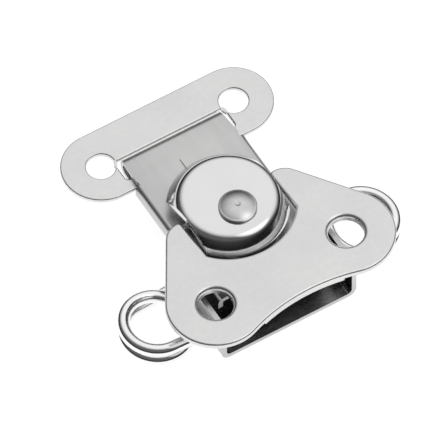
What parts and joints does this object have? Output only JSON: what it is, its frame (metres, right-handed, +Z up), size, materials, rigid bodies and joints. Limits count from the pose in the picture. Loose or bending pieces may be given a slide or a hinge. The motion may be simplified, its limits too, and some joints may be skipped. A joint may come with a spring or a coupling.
{
  "type": "butterfly spring draw latch",
  "caption": "Wing-turn draw latch: a folding butterfly wing turns a cam that draws a hooked arm onto a slotted strike plate, held by coiled spring eyes.",
  "frame": {"origin": "on the rivet's axis, on the plane that the base channel is fixed to", "axes": "+X along the strike plate's long axis, +Y from the rivet towards the strike plate, +Z up out of the mounting plane"},
  "size_m": [0.0608, 0.0588, 0.0179],
  "materials": {
    "satin_sheet": "satin nickel-plated sheet steel, fine even grain",
    "drawn_sheet": "nickel-plated sheet steel with drawing marks along the arm",
    "cup_steel": "satin flat top, polished drawn shoulder and skirt",
    "spring_wire": "bright nickel-plated spring wire",
    "rivet_steel": "turned rivet head, slightly darker than the cup",
    "inner_steel": "plain zinc-plated steel, hidden inside"
  },
  "bodies": {
    "base": {"base_channel": "drawn_sheet", "spring_left": "spring_wire", "spring_right": "spring_wire", "pivot_bush": "inner_steel", "rivet": "rivet_steel"},
    "arm": {"draw_arm": "drawn_sheet", "follower_pins": "inner_steel"},
    "turn": {"cam_plate": "inner_steel", "turn_carrier": "inner_steel", "spring_washer": "inner_steel", "turn_cup": "cup_steel"},
    "wing": {"wing": "satin_sheet"},
    "strike": {"strike_plate": "satin_sheet"}
  },
  "joints": [
    {"name": "wing_turn", "type": "hinge", "parent": "base", "child": "turn", "pos_m": [0, 0, 0], "axis": [0, 0, 1], "range_deg": [0, 180]},
    {"name": "wing_fold", "type": "hinge", "parent": "turn", "child": "wing", "pos_m": [-0.00015, 0.0033, 0.01375], "axis": [-0.999, -0.0454, 0], "range_deg": [0, 90]},
    {"name": "arm_draw", "type": "slide", "parent": "base", "child": "arm", "axis": [0, 1, 0], "range_m": [0, 0.00601]},
    {"name": "strike_release", "type": "slide", "parent": "arm", "child": "strike", "axis": [0, 0, -1], "range_m": [0, 0.0075]}
  ],
  "couplings": [
    {"joint": "arm_draw", "follows": "wing_turn", "m_per_rad": 0.0019099}
  ]
}
